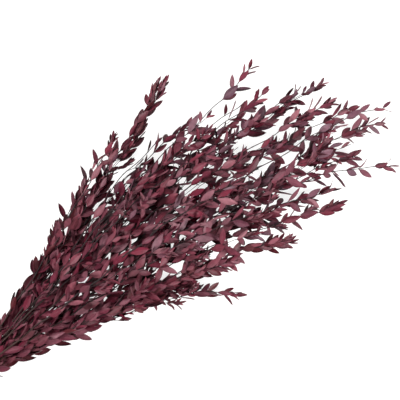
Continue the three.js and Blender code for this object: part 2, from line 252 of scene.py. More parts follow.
# Openings in the heap, where the floor shows from above: distance along the bunch from the band and
# distance to the left of its middle line, radius, and share of the leaves that grow there all the same.
OPENINGS = [
    (0.450, 0.019, 0.0045, 0),
    (0.462, 0.008, 0.003, 0),
    (0.479, 0.006, 0.0035, 0),
    (0.379, 0.012, 0.004, 0),
    (0.391, 0.007, 0.002, 0),
    (0.403, 0.004, 0.002, 0),
    (0.500, -0.054, 0.003, 0),
    (0.538, 0.022, 0.003, 0),
    (0.551, -0.058, 0.004, 0),
    (0.545, -0.044, 0.004, 0),
    (0.512, 0.036, 0.003, 0),
    (0.310, 0.054, 0.002, 0),
    (0.292, 0.040, 0.002, 0),
    (0.289, 0.058, 0.002, 0),
    (0.430, 0.031, 0.002, 0),
    (0.375, 0.028, 0.002, 0),
    (0.439, -0.025, 0.002, 0),
    (0.484, -0.027, 0.002, 0),
    (0.205, -0.048, 0.004, 0.2),
    (0.217, -0.053, 0.006, 0.1),
    (0.232, -0.057, 0.005, 0.1),
    (0.219, -0.064, 0.008, 0),
    (0.238, -0.068, 0.007, 0),
    (0.254, -0.072, 0.006, 0.2),
    (0.364, 0.100, 0.022, 0.5),
    (0.346, 0.078, 0.016, 0.5),
    (0.461, 0.060, 0.020, 0.45),
    (0.383, 0.011, 0.012, 0.5),
    (0.290, 0.070, 0.012, 0.6),
    (0.324, 0.095, 0.014, 0.7),
    (0.333, 0.014, 0.014, 0.75),
    (0.310, 0.032, 0.012, 0.75),
    (0.391, 0.041, 0.012, 0.8),
    (0.414, 0.024, 0.012, 0.8),
    (0.437, 0.006, 0.012, 0.8),
]

# The blade of a leaf: its faces across and along, its stalk, the depth of its fold halfway to the margin,
# where it is widest, its width at the foot and how full it is towards the foot and the tip.
LEAF_ACROSS = 4
LEAF_ALONG = 6
STALK = 1.4 * MM
STALK_NARROWED = 0.7
QUARTER_FOLD = 0.4
WIDEST_AT = 0.42
FOOT_WIDTH = 0.14
FOOT_FULLNESS = 0.9
TIP_FULLNESS = 0.75
LEAF_CREASE = math.radians(50)

# The forms of leaf: depth of the midrib's fold in leaf widths, then curl, sideways sickle bend and twist
# in degrees.
LEAF_FORMS = [
    (0.09, 18, 0, 8),
    (0.13, -14, 0, -12),
    (0.05, 30, 10, 15),
    (0.1, 8, -8, -20),
    (0.16, 22, 4, 0),
]

# Wood is drawn with swellings where leaves grow, and its foot is cut off aslant.
WOOD_STEP = 12 * MM
WOOD_ROUNDNESS = 2
WOOD_CREASE = math.radians(40)
SHORTEST_RING = 0.5 * MM
SWELLING = 0.3
SWELLING_REACH = 1.8 * MM
CUT_SLANT = 0.5

# One turn of the rubber band.
TURN_GAP = 0.3 * MM
TURN_THICKNESS = 1.3 * MM
TURN_WANDER = 0.12 * MM
TURN_BEVEL = 0.3 * MM
TURN_CREASE = math.radians(40)
CORNER_STEPS = 5
DOME_STEPS = 28

# The picture: a square that shows this width at this height, seen from straight above. The middle of
# the picture lies to the right of the band and up from it, in the picture's own directions.
VIEW_TURN = math.radians(38)
VIEW_WIDTH = 0.46
VIEW_HEIGHT = 0.045
VIEW_RIGHT = 0.29785
VIEW_UP = 0.230
SENSOR = 36

# Where the colours of the leaves' dye lie in its range, from umber to plum.
DYE_PLACES = (0, 0.3, 0.62, 0.8, 1)

# Finishes of the leaves. A depth is the darkest and the brightest factor of a pattern, a bump has a strength
# and a height, and a gloss has a roughness and a specular level. The first depth spans both the leaves' dye
# and their painted shade. The purity is that of the colour of the darkest and of the brightest leaves: the
# brightest are greyed as a painted sheen, and the darkest, among them those in painted shade, are made purer.
DYE_AND_SHADE_DEPTH = (0.1, 1.6)
PURITY_AND_PAINTED_SHEEN = (1.52, 0.72)
UNDERSIDE_DULLED = 0.65
BLOTCH = 5 * MM
BLOTCH_DETAIL = 3
BLOTCH_DEPTH = (0.78, 1.2)
MIDRIB = 0.35 * MM
VEIN_SPACING = 2.2 * MM
VEIN_LEAN = 0.55
VEIN_CREST = 0.6
VEIN_SHARE = 0.3
NERVES_SHARE = 0.45
MARGIN_FROM = 0.4
MARGIN_DEPTH = 0.72
BLOTCH_RELIEF = 0.5
LEAF_BUMP = (0.35, 0.3 * MM)
UPPER_GLOSS = (0.46, 0.12)
LOWER_GLOSS = (0.6, 0.05)

# Finishes of the wood, which turns from old to young over this stretch from the band.
YOUNG_WOOD = (0.05, 0.2)
GRAIN = 0.6 * MM
GRAIN_LENGTH = 6 * MM
GRAIN_DETAIL = 4
GRAIN_DEPTH = (0.6, 1.35)
GRAIN_BUMP = (0.5, 0.3 * MM)
BARK_GLOSS = (0.62, 0.12)
PORE = 0.25 * MM
PORE_DETAIL = 2
PORE_DEPTH = (0.75, 1.15)
PORE_BUMP = (0.4, 0.1 * MM)
CUT_GLOSS = (0.8, 0.3)

# Finishes of the rubber and the floor.
RUB = 3 * MM
RUB_LINE = 0.4 * MM
RUB_DETAIL = 3
RUB_DEPTH = (0.85, 1.12)
RUB_BUMP = (0.25, 0.1 * MM)
RUBBER_GLOSS = (0.55, 0.4)
FLOOR_GLOSS = (0.9, 0.1)

# Noise keeps to this part of its range.
NOISE = (0.3, 0.7)

# The studio. A softbox has its place to the right of the picture's middle, up the picture and over the
# floor, and its share of the key light.
SOFTBOXES = [
    ("left_softbox", -1.4, 0.3, 1.1, 0.85),
    ("right_softbox", 1.2, -0.6, 1.1, 1.0),
    ("top_softbox", -0.3, 0.3, 1.9, 0.25),
]
SOFTBOX_SIZE = 0.6
FLOOR_SIZE = 12
WHITE = (1, 1, 1, 1)

UP = Vector((0, 0, 1))

# Where the band's middle line stands on the floor, which every reach is counted from.
band_low, band_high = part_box("rubber_band")
BAND_MIDDLE = Vector(((band_low.x + band_high.x) / 2, (band_low.y + band_high.y) / 2, 0))


def lerp(low, high, share):
    return low + (high - low) * share


def clamp(value, low, high):
    return max(low, min(high, value))


def smoothstep(value, low, high):
    share = clamp((value - low) / (high - low), 0, 1)
    return share * share * (3 - 2 * share)


def linear(code):
    """An sRGB hex colour as linear red, green, blue and alpha."""
    channels = [int(code[i : i + 2], 16) / 255 for i in (0, 2, 4)]
    return tuple(((c + 0.055) / 1.055) ** 2.4 if c > 0.04045 else c / 12.92 for c in channels) + (1.0,)


def seeded(seed):
    """A repeatable stream of numbers from 0 to 1, the one that lays out the solids."""
    state = seed

    def draw():
        nonlocal state
        state = state * DRAW_FACTOR % DRAW_RANGE
        return state / DRAW_RANGE

    return draw


def heap_height(reach):
    """Height of the heap of stems at a distance from the band."""
    grown = lerp(HEAP_NEAR, HEAP_FAR, smoothstep(reach, 0, HEAP_FULL_AT))
    return grown * (1 - HEAP_SAG * smoothstep(reach, SAG_FROM, SAG_TO))


class Shoot:
    """The line of a stem, a side twig or a spur. Places on it are given by their reach, which is the
    distance from the band, or on a spur the distance along it."""

    def __init__(self, line, start, end, radii):
        self.line = line
        self.start = start
        self.end = end
        self.radii = radii
        self.nodes = []

    def radius(self, reach):
        start = max(self.start, 0)
        return lerp(*self.radii, clamp((reach - start) / (self.end - start), 0, 1) ** TAPER)

    def ahead(self, reach):
        return (self.line(reach + HALF_STEP) - self.line(reach - HALF_STEP)).normalized()

    def across(self, reach, angle):
        """The direction across the shoot at an angle round it, counted from the left over the top."""
        ahead = self.ahead(reach)
        left = UP.cross(ahead).normalized()
        return left * math.cos(angle) + ahead.cross(left) * math.sin(angle)


def fan_line(course, start, end, veer=0.0, rise=0.0):
    """The smooth line of a stem, or of a twig that veers off it soon after its root."""
    slot_y, slot_z, bearing, length, bend, level, phase = course

    def line(reach):
        if reach <= 0:
            spread = 1 - TAIL_SPREAD * reach / TAIL
            return BAND_MIDDLE + Vector((reach, slot_y * spread, lerp(SLOT_LOWEST, slot_z, spread)))
        opened = reach * reach / (reach * reach + OPENING * OPENING)
        off = 1 - (1 - clamp((reach - start) / (end - start), 0, 1)) ** VEERING
        sway = SWAY * math.sin(2 * math.pi * reach / SWAY_LENGTH + phase)
        bent = bend * (1 - (reach / length) ** BENDING)
        angle = math.radians(bearing + bent + sway + veer * off)
        height = LOWEST_STEM + (level + rise * off) * heap_height(reach)
        along = reach * math.cos(angle * opened)
        wander = WANDER * smoothstep(reach, 0, WANDER_FULL_AT)
        aside = wander * math.sin(2 * math.pi * reach / WANDER_ASIDE + ASIDE_PHASE * phase)
        above = wander * math.sin(2 * math.pi * reach / WANDER_ABOVE + ABOVE_PHASE * phase + veer)
        y = lerp(slot_y, reach * math.sin(angle), opened) + aside
        return BAND_MIDDLE + Vector((along, y, lerp(slot_z, height, opened) + above))

    return line


def spur_line(parent, reach, angle, splay, length):
    """The line of a spur: it leaves its parent slantwise and bends forward."""
    root = parent.line(reach)
    ahead = parent.ahead(reach)
    outward = parent.across(reach, angle)

    def line(place):
        off = math.sin(splay) * place * (1 - SPUR_BEND * place / length)
        return root + ahead * (math.cos(splay) * place) + outward * off

    return line


def lay_out():
    """Every stem as a list of shoots, its own first and then its twigs, with how leafy it is and the
    number of its column."""
    stems = []
    for c, column in enumerate(COLUMNS):
        for row, (bearing, length, bend, twigs, spread, leafy) in enumerate(column):
            draw = seeded(FIRST_DRAW + NEXT_DRAW * len(stems))
            step = row + (c % 2) / 2
            slot_y = ((len(COLUMNS) - 1) / 2 - c) * SLOT_PITCH_Y
            slot_z = SLOT_LOWEST + step * SLOT_PITCH_Z
            phase = 2 * math.pi * draw()
            course = (slot_y, slot_z, bearing, length, bend, step * LEVEL_STEP, phase)
            tail = TAIL + lerp(-TAIL_VARIATION, TAIL_VARIATION, draw())
            stem = Shoot(fan_line(course, -tail, length), -tail, length, (STEM_RADIUS, STEM_TIP_RADIUS))
            shoots = [stem]
            for k in range(twigs):
                start = length * lerp(*TWIG_ZONE, (k + TWIG_SCATTER * draw()) / twigs)
                longest = length * lerp(*TWIG_END, draw())
                end = min(start + lerp(*TWIG_LENGTH, draw()), longest)
                away = spread or TWIG_SPREAD * (1 if (k + row) % 2 else -1)
                veer = away * lerp(*TWIG_VARIATION, draw())
                rise = lerp(-TWIG_RISE, TWIG_RISE, draw())
                radii = (TWIG_SLENDER * stem.radius(start), TWIG_TIP_RADIUS)
                shoots.append(Shoot(fan_line(course, start, end, veer, rise), start, end, radii))
            stems.append((shoots, leafy, c))
    return stems


def leaf_places(shoot, first, leafy, chance, leaf_size):
    """Where pairs of leaves grow, from a shoot's tip to its foot, in tufts with bare wood between them.
    Each pair is turned about a quarter from the one before."""
    sizes = bpy.context.scene.bunch_leaves
    place = shoot.end - LAST_PAIR
    turn = chance.uniform(0, math.pi)
    left = chance.randint(*TUFT_PAIRS)
    while place > first:
        yield place, turn
        out = smoothstep(place, *SPACED_OUT) if leaf_size == 1 else 1
        spacing = lerp(sizes.spacing_in, sizes.spacing_out, out) * leaf_size
        spacing *= lerp(TIP_CROWDING, 1, smoothstep(shoot.end - place, 0, TIP_ZONE))
        place -= spacing * chance.uniform(*SPACING_VARIATION) / leafy
        turn += math.pi / 2 + chance.uniform(-PAIR_TWIST, PAIR_TWIST)
        left -= 1
        if left == 0:
            bare = smoothstep(place, *GAPS_OPEN) if leaf_size == 1 else 0
            bare *= smoothstep(shoot.end - place, *FULL_TIP) / leafy
            place -= chance.uniform(*TUFT_GAP) * bare
            left = chance.randint(*TUFT_PAIRS)


# A leaf: its root, its directions along the midrib, across the blade and out of the upper face, its
# size and slimness, the number of its form, its place in the dye's range and its brightness.
Leaf = namedtuple("Leaf", "root along wide face scale narrow form hue brightness")

# A grown stem: all its shoots, all its leaves and the number of its column.
Stem = namedtuple("Stem", "shoots leaves column")


def pose_leaf(shoot, reach, angle, splay, levelled, roll):
    """A leaf's directions along its midrib, across its blade and out of its upper face. It is turned
    about its midrib towards lying flat, by a share, and then rolled a little."""
    outward = shoot.across(reach, angle)
    ahead = shoot.ahead(reach)
    along = (ahead * math.cos(splay) + outward * math.sin(splay)).normalized()
    wide = ahead.cross(outward).normalized()
    face = along.cross(wide)
    flat = math.atan2(-wide.z, face.z)
    if abs(flat) > MOST_TURNED:
        flat = math.atan(-wide.z / face.z)
    turned = Matrix.Rotation(levelled * flat + roll, 3, along)
    return along, turned @ wide, turned @ face


def lowest(root, along, wide, length, width):
    """Height of a leaf's lowest point over the floor, with some room for its curl."""
    middle = root + along * (length / 2)
    tip = root + along * length
    return min(tip.z, middle.z - abs(wide.z) * width / 2, middle.z - CURL_ROOM * length)


def left_out(root, tip, chance):
    """Whether a leaf that would lie across one of the heap's openings, seen from above, is missing."""
    start, end = (root - BAND_MIDDLE).to_2d(), (tip - BAND_MIDDLE).to_2d()
    run = end - start
    for along, aside, radius, kept in OPENINGS:
        middle = Vector((along, aside))
        share = clamp((middle - start).dot(run) / max(run.length_squared, MM**2), 0, 1)
        if (start + run * share - middle).length < radius:
            return chance.random() >= kept
    return False


def grow_pair(shoot, reach, turn, leaf_size, pressed, chance):
    """The two leaves of a pair, each kept off the floor. They lie closer along a pressed stem."""
    sizes = bpy.context.scene.bunch_leaves
    young = smoothstep(shoot.end - reach, 0, YOUNG_ZONE * leaf_size)
    size = lerp(YOUNG, 1, young) * leaf_size
    slim = lerp(YOUNG_SLIM, 1, young)
    spread = smoothstep(reach, 0, SPLAYED_OUT) if leaf_size == 1 else 1
    splay = lerp(SPLAY_IN, lerp(SPLAY_YOUNG, SPLAY_OUT, young), spread) * pressed
    leaves = []
    for opposite in (0, math.pi):
        scale = size * chance.uniform(*SIZE_VARIATION)
        leaning = math.radians(splay * chance.uniform(*SPLAY_VARIATION))
        levelled = chance.uniform(*LEVELLED)
        roll = math.radians(chance.gauss(0, ROLL))
        narrow = slim * chance.uniform(*WIDTH_VARIATION)
        form = chance.randrange(len(LEAF_FORMS))
        hue, brightness = chance.random(), chance.uniform(*BRIGHTNESS)
        angle = turn + opposite
        for tried in range(TRIES):
            lean = leaning * (1 - SHINGLED * max(math.sin(angle), 0))
            along, wide, face = pose_leaf(shoot, reach, angle, lean, levelled, roll)
            out = shoot.across(reach, angle)
            root = shoot.line(reach) + out * (LEAF_SEAT * shoot.radius(reach))
            if lowest(root, along, wide, scale * sizes.length, scale * sizes.width) > FLOOR_GAP:
                tip = root + along * (scale * sizes.length)
                if not left_out(root, tip, chance):
                    leaves.append(Leaf(root, along, wide, face, scale, narrow, form, hue, brightness))
                break
            towards_top = 1 if math.cos(angle) > 0 else -1
            angle += towards_top * TRY_TURN
    return leaves


def grow(shoots, leafy, pressed, chance):
    """Spurs and leaves of one stem. Adds the spurs that have leaves to its shoots, and gives back all
    its leaves."""
    leaves = []
    for number, shoot in enumerate(list(shoots)):
        first = shoot.start + FIRST_TWIG_PAIR if number else FIRST_PAIR
        for reach, turn in leaf_places(shoot, first, leafy, chance, 1):
            shoot.nodes.append(reach)
            leaves += grow_pair(shoot, reach, turn, 1, pressed, chance)
        nearest, furthest = max(shoot.start, SPURS_FROM), shoot.end - SPUR_LENGTH[1] / 2
        spurs = round(SPURS * leafy * (shoot.end - nearest) / SPUR_STRETCH)
        for k in range(spurs):
            reach = lerp(nearest, furthest, ((k + chance.random()) / spurs) ** SPURS_OUTWARD)
            length = chance.uniform(*SPUR_LENGTH)
            angle, splay = chance.uniform(0, 2 * math.pi), chance.uniform(*SPUR_SPLAY)
            line = spur_line(shoot, reach, angle, splay, length)
            if line(length).z < SPUR_CLEAR:
                continue
            spur = Shoot(line, 0, length, SPUR_RADII)
            tuft = []
            for place, turn in leaf_places(spur, FIRST_SPUR_PAIR, 1, chance, SPUR_LEAF):
                spur.nodes.append(place)
                tuft += grow_pair(spur, place, turn, SPUR_LEAF, pressed, chance)
            if tuft:
                shoots.append(spur)
                leaves += tuft
    return leaves


def grown_bunch():
    """Every stem with its shoots and leaves."""
    grown = []
    for number, (shoots, leafy, column) in enumerate(lay_out()):
        chance = random.Random(SEED + number)
        pressed = PRESSED if number in PRESSED_STEMS else 1.0
        leaves = grow(shoots, leafy, pressed, chance)
        grown.append(Stem(shoots, leaves, column))
    return grown


def leaf_cell(leaf):
    """The upright cell that a leaf's middle is in, and the height of its middle."""
    middle = leaf.root + leaf.along * (leaf.scale * bpy.context.scene.bunch_leaves.length / 2)
    return (math.floor(middle.x / PAINTED_SHADE_CELL), math.floor(middle.y / PAINTED_SHADE_CELL)), middle.z


def heights_by_cell(grown):
    """The heights of all leaves over every cell of the table."""
    heights = {}
    for stem in grown:
        for leaf in stem.leaves:
            cell, height = leaf_cell(leaf)
            heights.setdefault(cell, []).append(height)
    return heights


def leaf_tone_and_shade(leaf, heights, column):
    """What the finish of a leaf needs to know: its place in the dye's range, and how bright it is drawn.
    Leaves that lie deep under others are drawn darkest, as painted shade."""
    cell, height = leaf_cell(leaf)
    # Painted shade: the more leaves lie higher over the same cell, the darker this leaf is painted.
    above = sum(other > height + PAINTED_SHADE_DEPTH for other in heights[cell])
    inner = lerp(1, PAINTED_SHADE_SHARE, smoothstep(above, *PAINTED_SHADE_UNDER))
    young = smoothstep((leaf.root - BAND_MIDDLE).length, *OLD_UNTIL)
    dye = lerp(*COLUMN_DYES[column], leaf.hue) * lerp(OLD_BROWN, 1, young)
    brightness = leaf.brightness * inner * lerp(OLD, 1, young) * COLUMN_BRIGHTNESS[column]
    return dye, brightness, 0.0, 1.0


def colour_property(name, description, code):
    return FloatVectorProperty(
        name=name, description=description, size=4, subtype="COLOR", default=linear(code)
    )


class BunchLeaves(bpy.types.PropertyGroup):
    """Sizes and colours of the leaves."""

    length: FloatProperty(
        name="Length", description="Length of a full-grown leaf", default=21.5 * MM, unit="LENGTH"
    )
    width: FloatProperty(
        name="Width", description="Width of a full-grown leaf", default=8.2 * MM, unit="LENGTH"
    )
    thickness: FloatProperty(
        name="Thickness", description="Thickness at the midrib", default=0.45 * MM, unit="LENGTH"
    )
    spacing_in: FloatProperty(
        name="Spacing near the band", description="Between pairs of leaves", default=12 * MM, unit="LENGTH"
    )
    spacing_out: FloatProperty(
        name="Spacing in the fan", description="Between pairs of leaves", default=9 * MM, unit="LENGTH"
    )
    wine: colour_property("Wine red", "The reddest leaves", "602F38")
    burgundy: colour_property("Burgundy", "Most leaves", "522D36")
    plum: colour_property("Plum", "The greyest leaves", "4F3942")
    umber: colour_property("Umber", "The brownest leaves", "442023")
    midrib: colour_property("Midrib", "Midrib and veins", "6C3A43")
    underside: colour_property("Underside", "The lower faces", "36121B")


class BunchWood(bpy.types.PropertyGroup):
    """Finish of the stems and twigs."""

    bark: colour_property("Bark", "Old wood near the band", "33201B")
    twig: colour_property("Twig", "Young wood at the tips", "201718")
    cut: colour_property("Cut wood", "The cut ends", "B99A7C")


class BunchBand(bpy.types.PropertyGroup):
    """The rubber band."""

    turns: IntProperty(name="Turns", description="Turns round the bundle", default=3, min=1, max=4)
    latex: colour_property("Latex", "Colour of the rubber", "B08A5A")


class BunchStage(bpy.types.PropertyGroup):
    """Floor, light and camera."""

    floor: colour_property("Floor", "Colour of the floor", "8E8D8B")
    glow: FloatProperty(name="Floor glow", description="Light from the lit table top", default=0.82)
    key: FloatProperty(name="Key light", description="Power in watts", default=67.0, unit="POWER")
    sky: FloatProperty(name="Soft light", description="Strength of the light all round", default=0.02)
    distance: FloatProperty(
        name="Camera distance", description="Height over the bunch", default=2.4, unit="LENGTH"
    )


def start_clean():
    """Leaves edit mode and deselects everything, so that the next operators act only on new work."""
    if bpy.context.object and bpy.context.object.mode != "OBJECT":
        bpy.ops.object.mode_set(mode="OBJECT")
    bpy.ops.object.select_all(action="DESELECT")


def pick(mesh, chosen):
    """Selects the vertices whose place passes a test, from edit mode, and stays in edit mode."""
    bpy.ops.mesh.select_mode(type="VERT")
    bpy.ops.mesh.select_all(action="DESELECT")
    bpy.ops.object.mode_set(mode="OBJECT")
    for vertex in mesh.vertices:
        vertex.select = chosen(vertex.co)
    bpy.ops.object.mode_set(mode="EDIT")


def apply_all(thing):
    """Applies an object's modifiers in order."""
    bpy.context.view_layer.objects.active = thing
    for modifier in list(thing.modifiers):
        bpy.ops.object.modifier_apply(modifier=modifier.name)


def join(name, things):
    """Joins objects into one mesh whose object sits at the origin."""
    start_clean()
    base = bpy.data.objects.new(name, bpy.data.meshes.new(name))
    bpy.context.scene.collection.objects.link(base)
    for thing in [*things, base]:
        thing.select_set(True)
    bpy.context.view_layer.objects.active = base
    bpy.ops.object.join()
    base.data.name = name
    return base


def outline(share):
    """Width of a leaf at a share of its length, with 1 for the widest place."""
    before = clamp(share / WIDEST_AT, 0, 1)
    after = clamp((share - WIDEST_AT) / (1 - WIDEST_AT), 0, 1)
    foot = lerp(FOOT_WIDTH, 1, math.sin(before * math.pi / 2) ** FOOT_FULLNESS)
    return foot * math.cos(after * math.pi / 2) ** TIP_FULLNESS


def model_leaf(name, fold, curl, sickle, twist):
    """One form of leaf. It stands on its root at the origin with its tip up and its upper face to -Y.
    A flat grid gets the outline row by row, a folded midrib and a short stalk, then thickness and curl."""
    sizes = bpy.context.scene.bunch_leaves
    start_clean()
    upright = (math.radians(90), 0, 0)
    middle = (0, 0, sizes.length / 2)
    bpy.ops.mesh.primitive_grid_add(
        x_subdivisions=LEAF_ACROSS, y_subdivisions=LEAF_ALONG, size=1, location=middle, rotation=upright
    )
    leaf = bpy.context.object
    leaf.name = name
    leaf.scale = (sizes.width, sizes.length, 1)
    bpy.ops.object.transform_apply(location=True, rotation=True, scale=True)
    bpy.ops.object.mode_set(mode="EDIT")
    row = sizes.length / LEAF_ALONG
    column = sizes.width / LEAF_ACROSS
    blade = (row / 2, sizes.length - row / 2)
    for line, depth in ((0, fold), (column, QUARTER_FOLD * fold)):
        pick(leaf.data, lambda co: abs(abs(co.x) - line) < column / 4 and blade[0] < co.z < blade[1])
        bpy.ops.transform.translate(value=(0, depth * sizes.width, 0))
    for k in range(LEAF_ALONG):
        height = k * row
        pick(leaf.data, lambda co: abs(co.z - height) < row / 4)
        bpy.ops.transform.resize(value=(outline(k / LEAF_ALONG), 1, 1), center_override=(0, 0, height))
    pick(leaf.data, lambda co: co.z > sizes.length - row / 4)
    bpy.ops.mesh.merge(type="CENTER")
    pick(leaf.data, lambda co: co.z < row / 4)
    bpy.ops.mesh.extrude_region_move(TRANSFORM_OT_translate={"value": (0, 0, -STALK)})
    bpy.ops.transform.resize(value=(STALK_NARROWED, 1, 1), center_override=(0, 0, -STALK))
    bpy.ops.mesh.select_all(action="SELECT")
    bpy.ops.transform.translate(value=(0, 0, STALK))
    bpy.ops.mesh.region_to_loop()
    bpy.ops.object.mode_set(mode="OBJECT")
    margin = [vertex.index for vertex in leaf.data.vertices if vertex.select]
    inner = [vertex.index for vertex in leaf.data.vertices if not vertex.select]
    thick = leaf.vertex_groups.new(name="blade")
    thick.add(inner, 1.0, "REPLACE")
    thick.add(margin, 0.0, "REPLACE")
    thicken = leaf.modifiers.new("thickness", "SOLIDIFY")
    thicken.thickness = sizes.thickness
    thicken.offset = -1
    thicken.vertex_group = "blade"
    thicken.use_rim = False
    thicken.material_offset = 1
    for method, axis, degrees in (("BEND", "X", curl), ("BEND", "Y", sickle), ("TWIST", "Z", twist)):
        change = leaf.modifiers.new(method.lower(), "SIMPLE_DEFORM")
        change.deform_method = method
        change.deform_axis = axis
        change.angle = math.radians(degrees)
    apply_all(leaf)
    bpy.ops.object.shade_smooth_by_angle(angle=LEAF_CREASE)
    return leaf


def copy_leaf(form, leaf, tone):
    """A copy of a leaf's form with its own mesh, set on its root, with its own tone and painted shade on
    every point.
    What would reach into the floor is flattened against it."""
    copy = form.copy()
    copy.data = form.data.copy()
    bpy.context.scene.collection.objects.link(copy)
    turned = Matrix((-leaf.wide, -leaf.face, leaf.along)).transposed().to_4x4()
    sized = Matrix.Diagonal((leaf.scale * leaf.narrow, leaf.scale, leaf.scale, 1))
    copy.data.transform(Matrix.Translation(leaf.root) @ turned @ sized)
    for vertex in copy.data.vertices:
        if vertex.co.z < FLATTENED_BELOW:
            vertex.co.z = lerp(FLATTENED_BELOW, vertex.co.z, FLATTENED_TO)
    points = len(copy.data.vertices)
    copy.data.attributes["leaf_tone_and_shade"].data.foreach_set("color", list(tone) * points)
    return copy


def wood_places(shoot):
    """Reaches along a shoot at which its wood gets a ring: even steps, and round every pair of leaves."""
    steps = math.ceil((shoot.end - shoot.start) / WOOD_STEP)
    places = [lerp(shoot.start, shoot.end, k / steps) for k in range(steps + 1)]
    inner = [node for node in shoot.nodes if shoot.start < node < shoot.end]
    places = [place for place in places if all(abs(place - node) > SWELLING_REACH for node in inner)]
    for node in inner:
        places += [node - SWELLING_REACH, node, node + SWELLING_REACH]
    low, high = shoot.start + SHORTEST_RING, shoot.end - SHORTEST_RING
    return [shoot.start, *sorted(place for place in places if low < place < high), shoot.end]


def draw_wood(name, shoots):
    """Every shoot as a tube on its smooth line, and the stem's foot cut off aslant."""
    start_clean()
    curve = bpy.data.curves.new(name, "CURVE")
    curve.dimensions = "3D"
    curve.bevel_depth = 1
    curve.bevel_resolution = WOOD_ROUNDNESS
    curve.use_fill_caps = True
    for shoot in shoots:
        nodes = set(shoot.nodes)
        places = wood_places(shoot)
        spline = curve.splines.new("POLY")
        spline.points.add(len(places) - 1)
        for point, reach in zip(spline.points, places):
            point.co = (*shoot.line(reach), 1)
            point.radius = shoot.radius(reach) * (1 + SWELLING * (reach in nodes))
    wood = bpy.data.objects.new(name, curve)
    bpy.context.scene.collection.objects.link(wood)
    wood.select_set(True)
    bpy.context.view_layer.objects.active = wood
    bpy.ops.object.convert(target="MESH")
    for finish in ("dyed_bark", "snipped_wood"):
        wood.data.materials.append(bpy.data.materials[finish])
    bpy.ops.object.mode_set(mode="EDIT")
    bpy.ops.mesh.select_all(action="SELECT")
    foot = shoots[0].line(shoots[0].start) + Vector((STEM_RADIUS, 0, 0))
    bpy.ops.mesh.bisect(plane_co=foot, plane_no=(1, 0, -CUT_SLANT), use_fill=True, clear_inner=True)
    bpy.ops.object.mode_set(mode="OBJECT")
    side_corners = 4
    for face in wood.data.polygons:
        face.material_index = int(face.select and len(face.vertices) > side_corners)
    bpy.ops.object.shade_smooth_by_angle(angle=WOOD_CREASE)
    return wood


# Sockets of a node that mixes colours: the share, both colours and the mixed one.
MIX_SHARE = 0
MIX_FROM = 6
MIX_TO = 7
MIXED = 2


def add_node(tree, kind, inputs=(), **settings):
    """Adds a node to a material, with its settings, and with values or links for its sockets. Another
    node in the place of a value is linked from its first output."""
    node = tree.nodes.new(kind)
    for name, value in settings.items():
        setattr(node, name, value)
    for socket, value in dict(inputs).items():
        if isinstance(value, bpy.types.Node):
            value = value.outputs[0]
        if isinstance(value, bpy.types.NodeSocket):
            tree.links.new(value, node.inputs[socket])
        else:
            node.inputs[socket].default_value = value
    return node


def new_material(name):
    """A material without any nodes, and the tree that it is built in."""
    material = bpy.data.materials.new(name)
    material.use_nodes = True
    material.node_tree.nodes.clear()
    return material, material.node_tree


def set_ramp(ramp, stops):
    """Gives a colour ramp its stops, each a place and a colour."""
    elements = ramp.color_ramp.elements
    while len(elements) < len(stops):
        elements.new(1.0)
    for element, (place, colour) in zip(elements, stops):
        element.position = place
        element.color = colour


def spread_noise(noise, depth):
    """Inputs for a map range that turns noise into factors between the two ends of a depth."""
    return {
        "Value": noise,
        "From Min": NOISE[0],
        "From Max": NOISE[1],
        "To Min": depth[0],
        "To Max": depth[1],
    }


def draw_skin(tree, colour, pattern, depth, bump, gloss):
    """A skin with a colour that one pattern makes uneven, raised by the same pattern."""
    uneven = add_node(tree, "ShaderNodeMapRange", spread_noise(pattern, depth))
    shade = add_node(tree, "ShaderNodeHueSaturation", {"Color": colour, "Value": uneven})
    raised = {"Height": pattern, "Strength": bump[0], "Distance": bump[1]}
    inputs = {
        "Base Color": shade,
        "Roughness": gloss[0],
        "Specular IOR Level": gloss[1],
        "Normal": add_node(tree, "ShaderNodeBump", raised),
    }
    skin = add_node(tree, "ShaderNodeBsdfPrincipled", inputs)
    add_node(tree, "ShaderNodeOutputMaterial", {0: skin})


def draw_nerves(tree, aside, along):
    """The midrib, and side veins that lean towards the tip, from the distance from a leaf's middle line
    and the place along it, both in shares of the leaf."""
    sizes = bpy.context.scene.bunch_leaves
    midrib = add_node(
        tree,
        "ShaderNodeMapRange",
        {"Value": aside, "From Max": MIDRIB / sizes.width, "To Min": 1.0, "To Max": 0.0},
        interpolation_type="SMOOTHSTEP",
    )
    leaning = {0: aside, 1: -VEIN_LEAN, 2: along}
    lean = add_node(tree, "ShaderNodeMath", leaning, operation="MULTIPLY_ADD")
    turns = 2 * math.pi * sizes.length / VEIN_SPACING
    rows = add_node(tree, "ShaderNodeMath", {0: lean, 1: turns}, operation="MULTIPLY")
    wave = add_node(tree, "ShaderNodeMath", {0: rows}, operation="SINE")
    crests = {"Value": wave, "From Min": VEIN_CREST, "To Max": VEIN_SHARE}
    veins = add_node(tree, "ShaderNodeMapRange", crests)
    return add_node(tree, "ShaderNodeMath", {0: midrib, 1: veins}, operation="MAXIMUM")
